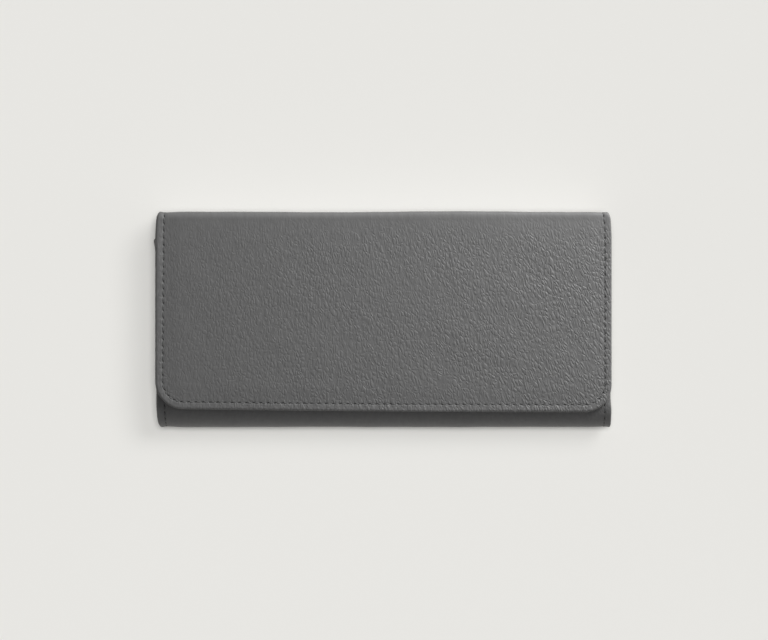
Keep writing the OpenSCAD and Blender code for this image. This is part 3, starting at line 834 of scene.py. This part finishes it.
def weave(name, level, pitch):
    """Woven tape: rows of small crossed ribs."""
    s = Shader(name)
    u, v, _ = s.parts(s.attribute("flat"))
    turn = TURN / (pitch * MM)
    slanted = s.plus(v, s.times(u, 0.5))
    across, along = (s.math("SINE", s.times(run, turn)) for run in (u, slanted))
    rib = s.times(across, along)
    # Painted shade and highlight: the tape is darker between its ribs and lighter on their tops
    colour = s.mix(s.rise(rib, -1, 1), grey(level * 0.6), grey(level * 1.3))
    return s.finish(colour, s.rise(rib, -1, 1, 0.9, 0.75), s.bump(rib, 0.06 * MM))


def metal(name, level, roughness):
    """Plated metal with fine scratches and a few duller patches."""
    s = Shader(name)
    place = s.node("TexCoord", out="Object")
    long = s.node("Mapping", {"Vector": place, "Scale": (300.0, 4000.0, 4000.0)})
    scratch = s.noise(long, 1.0)
    patch = s.noise(place, 350.0)
    colour = s.mix(s.rise(patch, 0.3, 0.7), grey(level * 0.88), grey(level, 0.01))
    rough = s.rise(patch, 0.3, 0.7, roughness + 0.12, roughness)
    return s.finish(colour, rough, s.bump(scratch, 0.004 * MM), Metallic=1.0)


def board(name, level):
    """Pressed fibre board with short fibres."""
    s = Shader(name)
    place = s.node("TexCoord", out="Object")
    fibre = s.noise(place, 900.0, 4.0, Roughness=0.7)
    blotch = s.noise(place, 120.0)
    tone = s.plus(s.times(fibre, 0.6), s.times(blotch, 0.4))
    colour = s.mix(s.rise(tone, 0.35, 0.65), tint(level, 0.85, 0.78, 0.62), tint(level, 1, 0.93, 0.8))
    return s.finish(colour, s.rise(fibre, 0.3, 0.7, 0.95, 0.8), s.bump(fibre, 0.05 * MM))


# Leather with its grain's cell and height in millimetres, and the other materials
OUTER = leather("outer_leather", 0.113, cell=(1.2, 2.5), height=0.215, roughness=0.52, edge_level=0.105)
LINING = leather("lining_leather", 0.07, cell=(0.6, 0.8), height=0.03, roughness=0.55)
GUSSET = leather("gusset_leather", 0.07, cell=(0.6, 0.8), height=0.03, roughness=0.55, holes=False)
SLOT = leather("slot_leather", 0.085, cell=(0.7, 0.9), height=0.05, roughness=0.5, holes=False)
THREAD = thread("seam_thread", 0.105)
TAPE = weave("zip_tape_weave", 0.035, pitch=0.5)
NICKEL = metal("zip_nickel", 0.62, roughness=0.22)
STEEL = metal("magnet_steel", 0.5, roughness=0.3)
BOARD = board("filler_board", 0.5)

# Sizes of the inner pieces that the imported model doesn't name
LINING_RINGS = [0.8, 1.4, 1.9, 2.5]
POCKET_RINGS = [0.6, 1.1, 1.4, 1.8, 2.4]
CREASE_INSET = 1.4
CREASE_DEPTH = 0.09
CREASE_LINE_W = 0.25
INNER_GRAIN = 0.8
POCKET_SEAM = 2.0
POCKET_THREAD_R = 0.14
POCKET_EDGE_R = 0.8
SLOT_ROWS = 4
SLOT_CORNER_R = 2.0
POCKET_CORNER_R = 5.0
BINDING_W = 4.0
BINDING_POWER = 0.35
BINDING_STEPS = (40, 13, 24)
TAPE_T = 0.4
TAPE_BEND_R = 0.45
TAPE_CORNER_R = 0.3
TAB_GAP = 0.1
TAB_SPARE_R = 0.1
GUSSET_T = 0.5
GUSSET_FOLD = 12.5
GUSSET_WEB = 3.3
GUSSET_EDGE = 0.6
GUSSET_DROP = 3.0
GUSSET_BEND_R = 0.45
GUSSET_CORNER_R = 0.4
LEAST_SQUARE = 0.01

# The stretches of the cover: ends along it, corner radii, sampling, and for each one two bodies with the ends
# of a span between them
COVER_SHEETS = [
    ("front_panel_leather", "front", 0, V_APEX, PANEL_CORNER_R, None, COARSE,
     ("divider", "front", (0, 0, FOLD_R), (0, 0, BODY_T - SHELL_T))),
    ("back_panel_leather", "back", V_APEX, V_BACK_SEAM, None, None, COARSE,
     ("back", "divider", (0, 0, SHELL_T), (0, 0, FOLD_R))),
    ("spine_rear_leather", "spine", V_BACK_SEAM, V_SPINE_MID, None, None, COARSE,
     ("back", "spine", (0, SHOULDER_Y, 0), (0, SPINE_Y, SPINE_R))),
    ("flap_panel_leather", "flap", V_SPINE_MID, V_END, None, FLAP_CORNER_R, FINE,
     ("spine", "flap", (0, SPINE_Y, TOTAL_T - SPINE_R), (0, SHOULDER_Y, TOTAL_T))),
]


def bend(piece, blend):
    """Bakes a piece's place into its mesh. Its blend, two bodies and ends in millimetres, is not used."""
    a, b, start, end = blend
    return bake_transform(piece, a, b, start=[x * MM for x in start], end=[x * MM for x in end])


def make_lining(cover, body, v0, v1, r0, r1):
    """Lining of one stretch of the cover."""
    half = HALF_FLAP - LINING_INSET
    low, high = (LINING_INSET if radius else 0 for radius in (r0, r1))
    lining = sheet(body + "_lining_sheet", LINING, half, v0 + low, v1 - high, lining_corner(r0),
                   lining_corner(r1), LINING_T, on_cover, 2 * COARSE, rings=LINING_RINGS,
                   widths=lining_width, skin=SKIN_T, inset=SEAM_INSET - LINING_INSET, stride=2)
    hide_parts(body + "_lining")
    return lining


def make_cover():
    """The outer leather, its lining and its seams, in four stretches."""
    for name, body, v0, v1, r0, r1, spacing, blend in COVER_SHEETS:
        piece = sheet(name, OUTER, HALF_FLAP, v0, v1, r0, r1, SKIN_T, on_cover, spacing, rings=COVER_RINGS,
                      relief=cover_relief, recess=cover_recess, widths=half_width, grain=cover_grain,
                      pull=cover_stretch, lean=cover_lean)
        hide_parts(body + "_leather")
        row = both_sides(seam_row(HALF_FLAP, v0, v1, r0, r1, widths=half_width))
        outside = stitches(body + "_seam_outside", THREAD, row, on_cover, thread_depth)
        inside = stitches(body + "_seam_inside", THREAD, row, on_cover, SHELL_T, rise=-1)
        lining = make_lining(name, body, v0, v1, r0, r1)
        for part, slot in ((piece, "outer_leather"), (outside, "outer_leather"),
                           (inside, "lining_leather"), (lining, "lining_leather")):
            bend(part, blend)


def lining_corner(radius):
    """Corner radius of the lining, or None where the cover carries on."""
    return radius and max(radius - LINING_INSET, LINING_CORNER_R)


def lining_width(v):
    """Half of the lining's width, a little in from the cover's edge."""
    return half_width(v) - LINING_INSET


def flat_at(face_z, middle_x=0.0, up=1):
    """Place of a flat sheet whose outer face lies at that height; up is -1 where it faces down."""
    def place(u, v, depth):
        return np.stack([middle_x + u, v, face_z - up * depth], -1) * MM
    return place


def creased(top_v):
    """Relief of a pocket's wall: a pressed crease below its top edge and a slight unevenness."""
    def relief(u, v, e, t):
        near_top = smooth(top_v - 3 * CREASE_INSET, top_v - 2 * CREASE_INSET, v)
        crease = CREASE_DEPTH * bell(e, CREASE_INSET, CREASE_LINE_W) * near_top
        return smooth(0, 1, e) * (ripple(u, v, POCKET_WAVES) - crease)
    return relief


def inner_grain(u, v):
    """Even fine grain of the inner leather."""
    return np.full_like(u, INNER_GRAIN)


def side_rows(half, v_low, v_high):
    """Seam rows along both sides of a pocket."""
    v = np.linspace(v_low, v_high, max(2, int((v_high - v_low) / SEAM_STEP)))
    return both_sides((v, np.full_like(v, half - POCKET_SEAM), v))


def pocket_sheet(node, face, corner_low, corner_high, body, seams):
    """A leather pocket's wall in the place of a CAD node, with its stitches. face is 1 where it faces up."""
    low, high = node_mm(node)
    half, middle = (high[0] - low[0]) / 2, (high[0] + low[0]) / 2
    place = flat_at(high[2] if face > 0 else low[2], middle, face)
    piece = sheet(node + "_sheet", SLOT, half, low[1], high[1], corner_low, corner_high, high[2] - low[2],
                  place, COARSE, POCKET_RINGS, creased(high[1]), grain=inner_grain, inset=POCKET_SEAM)
    sewn = stitches(node + "_seam", THREAD, seams(half, low[1], high[1]), place, 0.0, POCKET_THREAD_R)
    for part in (piece, sewn):
        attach(part, body)
    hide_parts(node)


def make_card_slots():
    """Two columns of card slots, each sewn to the back along its sides where it shows."""
    for side in ("left", "right"):
        for row in range(1, SLOT_ROWS + 1):
            node = f"card_slot_{side}_{row}"
            below = node_mm(f"card_slot_{side}_{row + 1}")[1][1] if row < SLOT_ROWS else -math.inf

            def seams(half, v_low, v_high, below=below):
                return side_rows(half, max(v_low, below), v_high)
            pocket_sheet(node, 1, POCKET_EDGE_R, SLOT_CORNER_R, "back", seams)


def make_slip_pocket():
    """Slip pocket inside the front panel, sewn round its sides and bottom."""
    def seams(half, v_low, v_high):
        return both_sides(seam_row(half, v_low, v_high, POCKET_EDGE_R, None, POCKET_SEAM))
    pocket_sheet("front_slip_pocket", -1, POCKET_EDGE_R, SLOT_CORNER_R, "front", seams)


def make_coin_pocket():
    """Walls of the zipped pocket, with a seam round the sides and bottom and one below the zip."""
    def seams(half, v_low, v_high):
        line = np.arange(-half + 2 * POCKET_SEAM, half - 2 * POCKET_SEAM, SEAM_STEP)
        across = (line, line, np.full_like(line, v_high - POCKET_SEAM))
        return both_sides(seam_row(half, v_low, v_high, POCKET_CORNER_R, None, POCKET_SEAM)) + [across]
    pocket_sheet("coin_pocket_rear", -1, POCKET_CORNER_R, POCKET_EDGE_R, "divider", seams)
    pocket_sheet("coin_pocket_front", 1, POCKET_CORNER_R, POCKET_EDGE_R, "divider", seams)


def make_binding():
    """Binding of the pocket's sides and bottom, swept round the U with soft outer corners."""
    low, high = node_mm("coin_pocket_binding")
    half, thick, middle_z = high[0], high[2] - low[2], (low[2] + high[2]) / 2
    side_steps, corner_steps, ring_steps = BINDING_STEPS
    corner = [(half - POCKET_CORNER_R * (1 - math.sin(a)), low[1] + POCKET_CORNER_R * (1 - math.cos(a)), a)
              for a in np.linspace(math.pi / 2, 0, corner_steps)]
    side = np.linspace(high[1], low[1] + POCKET_CORNER_R, side_steps)[:-1]
    right = [(half, y, math.pi / 2) for y in side] + corner
    path = right + [(-x, y, -a) for x, y, a in reversed(right)]
    section = []
    for a in np.linspace(0, TURN, ring_steps + 1)[:-1]:
        c, s = (math.copysign(abs(part) ** BINDING_POWER, part) for part in (math.cos(a), math.sin(a)))
        section.append((BINDING_W / 2 * (c - 1), thick / 2 * s))
    points = np.array([((x + out * math.sin(a)) * MM, (y - out * math.cos(a)) * MM, (middle_z + rise) * MM)
                       for x, y, a in path for out, rise in section])
    faces = tube_faces(len(path), len(section))
    piece = make_mesh("coin_pocket_binding_strip", points, faces, TAPE, {"flat": points})
    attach(piece, "divider")
    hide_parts("coin_pocket_binding")


def make_zip_tapes():
    """Woven tapes, folded over at the lip that the teeth are clamped to."""
    for name, side in (("rear", -1), ("front", 1)):
        low, high = node_mm("zip_tape_" + name)
        face, lip = (low[2], high[2]) if side < 0 else (high[2], low[2])
        path = Track([(low[1], 0), (high[1], 0), (high[1], abs(lip - face))], [TAPE_BEND_R])

        def place(u, v, depth, path=path, face=face, side=side):
            point, normal = path.at(v)
            yz = point - normal * depth[..., None]
            return np.stack([u, yz[..., 0], face - side * yz[..., 1]], -1) * MM
        piece = sheet(f"zip_tape_{name}_woven", TAPE, high[0], 0, path.end, TAPE_CORNER_R, TAPE_CORNER_R,
                      TAPE_T, place, COARSE)
        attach(piece, "divider")
        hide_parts("zip_tape_" + name)


def make_end_tabs():
    """Leather tabs that close the pocket's mouth beyond the zip's ends."""
    low, high = node_mm("zip_end_tabs")
    start = node_mm("zip_tape_rear")[1][0] + TAB_GAP
    thick = high[2] - low[2]
    corner = thick / 2 + TAB_SPARE_R
    for name, side in (("left", -1), ("right", 1)):
        place = flat_at(high[2], side * (start + high[0]) / 2)
        piece = sheet(f"zip_end_tab_{name}", SLOT, (high[0] - start) / 2, low[1], high[1], corner, corner,
                      thick, place, COARSE, grain=inner_grain)
        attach(piece, "divider")
        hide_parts("zip_end_tabs")


def make_gussets():
    """Folded gussets: a glued edge, a fold, a web beside the coin pocket, a fold and a glued edge."""
    bank_top = node_mm("card_slot_left_4")[1][2]
    pocket_low = node_mm("coin_pocket_rear")[0][2]
    pocket_high = node_mm("coin_pocket_front")[1][2]
    slip_low = node_mm("front_slip_pocket")[0][2]
    top_y = MOUTH_Y - GUSSET_DROP
    reach = FOLD_R - SHELL_T - GUSSET_GAP
    seat = GUSSET_T / 2 + GUSSET_GAP
    fold_x, web_x, edge_x = (HALF_BODY - d for d in (GUSSET_FOLD, GUSSET_WEB, GUSSET_EDGE))
    rear_z, front_z = (bank_top + pocket_low) / 2, (pocket_high + slip_low) / 2
    web_low, web_high = pocket_low - seat, pocket_high + seat
    path = Track(
        [(edge_x, SHELL_T + seat), (fold_x, rear_z - GUSSET_T), (fold_x, rear_z + GUSSET_T),
         (web_x, web_low), (web_x, web_high), (fold_x, front_z - GUSSET_T),
         (fold_x, front_z + GUSSET_T), (edge_x, BODY_T - SHELL_T - seat)],
        [GUSSET_BEND_R] * 6)
    rear_end, front_start = path.marks[2][1], path.marks[3][0]
    rear_blend = ("back", "divider", (0, 0, SHELL_T + seat), (0, 0, web_low))
    front_blend = ("divider", "front", (0, 0, web_high), (0, 0, BODY_T - SHELL_T - seat))
    stretches = [
        ("rear", 0, rear_end, GUSSET_CORNER_R, None, rear_blend),
        ("web", rear_end, front_start, None, None, None),
        ("front", front_start, path.end, None, GUSSET_CORNER_R, front_blend),
    ]
    half = (top_y - FOLD_Y + reach) / 2

    for name, side in (("left", -1), ("right", 1)):
        def place(u, v, depth, side=side):
            point, normal = path.at(v)
            xz = point - normal * (depth - GUSSET_T / 2)[..., None]
            low_y = FOLD_Y - np.sqrt(np.clip(reach**2 - (xz[..., 1] - FOLD_R) ** 2, LEAST_SQUARE, None))
            y = low_y + (top_y - low_y) * (u + half) / (2 * half)
            return np.stack([side * xz[..., 0], y, xz[..., 1]], -1) * MM
        for part, v0, v1, r0, r1, blend in stretches:
            piece = sheet(f"gusset_{name}_{part}", GUSSET, half, v0, v1, r0, r1, GUSSET_T, place, COARSE,
                          relief=gusset_relief, grain=inner_grain)
            if blend:
                bend(piece, blend)
            else:
                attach(piece, "divider")
            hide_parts("gusset_" + name)


def gusset_relief(u, v, e, t):
    """Slight creases across the gusset's folds."""
    return smooth(0, 1, e) * ripple(u, v, GUSSET_WAVES)


def dress_nodes():
    """Materials of the rigid CAD nodes that stay."""
    kinds = {NICKEL: ["zip_teeth_rear", "zip_teeth_front", "zip_stops", "zip_slider", "zip_pull_link",
                      "zip_pull_tab"],
             STEEL: ["front_magnets", "flap_magnets"],
             BOARD: ["back_board", "front_board", "flap_board", "spine_filler"]}
    for material, names in kinds.items():
        for name in names:
            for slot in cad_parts[name].material_slots:
                slot.material = material


FLOOR_HALF = 3.0
FLOOR_TINTS = ((0.80, 0.792, 0.762, 1), (0.806, 0.798, 0.768, 1))


def make_floor():
    """Plain pale floor, in metres."""
    s = Shader("pale_floor")
    place = s.node("TexCoord", out="Object")
    cloud = s.noise(place, 2.0, 1.0)
    material = s.finish(s.mix(s.rise(cloud, 0.3, 0.7), *FLOOR_TINTS), 0.9)
    mesh = bpy.data.meshes.new("floor")
    corners = [(FLOOR_HALF * x, FLOOR_HALF * y, 0) for x, y in ((-1, -1), (1, -1), (1, 1), (-1, 1))]
    mesh.from_pydata(corners, [], [(0, 1, 2, 3)])
    mesh.materials.append(material)
    floor = add_object("floor", mesh)
    floor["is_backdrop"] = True
    return floor


def light_group(name, floor, state):
    """Receivers of a light: only the floor with INCLUDE, all but the floor with EXCLUDE."""
    group = bpy.data.collections.new(name)
    group.objects.link(floor)
    group.collection_objects[0].light_linking.link_state = state
    return group


def make_lamp(name, kind, receivers, towards, distance=1.0, **settings):
    """A light in the direction towards, at that distance in metres, aimed at the object."""
    light = bpy.data.lights.new(name, kind)
    for key, value in settings.items():
        setattr(light, key, value)
    lamp = add_object(name, light)
    direction = Vector(towards).normalized()
    lamp.location = direction * distance
    lamp.rotation_euler = direction.to_track_quat("Z", "Y").to_euler()
    lamp.light_linking.receiver_collection = receivers


def make_sun(name, strength, angle, towards, receivers):
    """A distant light; strength is what it adds to a white face that it meets squarely."""
    make_lamp(name, "SUN", receivers, towards, energy=strength * math.pi, angle=math.radians(angle))


# The room's brightness at the horizon and above it, at heights given as the sine of the angle
ROOM_HEIGHTS = (0.02, 0.2)
ROOM_LEVELS = (0.75, 0.05)


def make_world():
    """A dim room with a pale band round the horizon."""
    scene = bpy.context.scene
    scene.view_settings.view_transform = "Standard"
    scene.world = bpy.data.worlds.new("pale_room")
    scene.world.use_nodes = True
    s = Nodes(scene.world.node_tree)
    back = s.tree.nodes["Background"]
    back.inputs["Color"].default_value = (1, 0.995, 0.985, 1)
    height = s.parts(s.node("TexCoord", out="Generated"))[2]
    s.feed(back.inputs["Strength"], s.rise(height, *ROOM_HEIGHTS, *ROOM_LEVELS))


def make_light(floor):
    """Soft studio light from the upper right. The floor has lights of its own, which keep its shadow pale."""
    floor_only = light_group("floor_lit", floor, "INCLUDE")
    object_only = light_group("object_lit", floor, "EXCLUDE")
    make_world()
    make_sun("floor_overhead", strength=0.75, angle=20, towards=(0.03, 0.05, 1), receivers=floor_only)
    make_sun("floor_key", strength=0.235, angle=28, towards=(0.55, 0.5, 1), receivers=floor_only)
    make_sun("dome", strength=0.26, angle=170, towards=(0, 0, 1), receivers=object_only)
    make_lamp("softbox", "AREA", object_only, towards=(0.62, 0.70, 0.54), distance=0.6, energy=6.15, size=0.3)


# The camera looks straight down; its picture is 768 by 640 pixels
PICTURE_W = 768
PX_PER_MM = 2.2835
CAMERA_RISE = 1600.0
CAMERA_X = 0.26
CAMERA_Y = -0.06
SENSOR_W = 36.0


def make_camera():
    """Camera straight above the wallet."""
    camera = add_object("camera", bpy.data.cameras.new("camera"))
    camera.data.sensor_width = SENSOR_W
    camera.data.lens = SENSOR_W * CAMERA_RISE / (PICTURE_W / PX_PER_MM)
    camera.location = (CAMERA_X * MM, CAMERA_Y * MM, (CAMERA_RISE + TOTAL_T) * MM)
    bpy.context.scene.camera = camera


make_camera()
make_light(make_floor())
make_cover()
make_card_slots()
make_slip_pocket()
make_coin_pocket()
make_binding()
make_zip_tapes()
make_end_tabs()
make_gussets()
dress_nodes()

boxes = {"cad": CAD_BOX, "visual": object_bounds()}
{key: [list(corner) for corner in box] for key, box in boxes.items()}
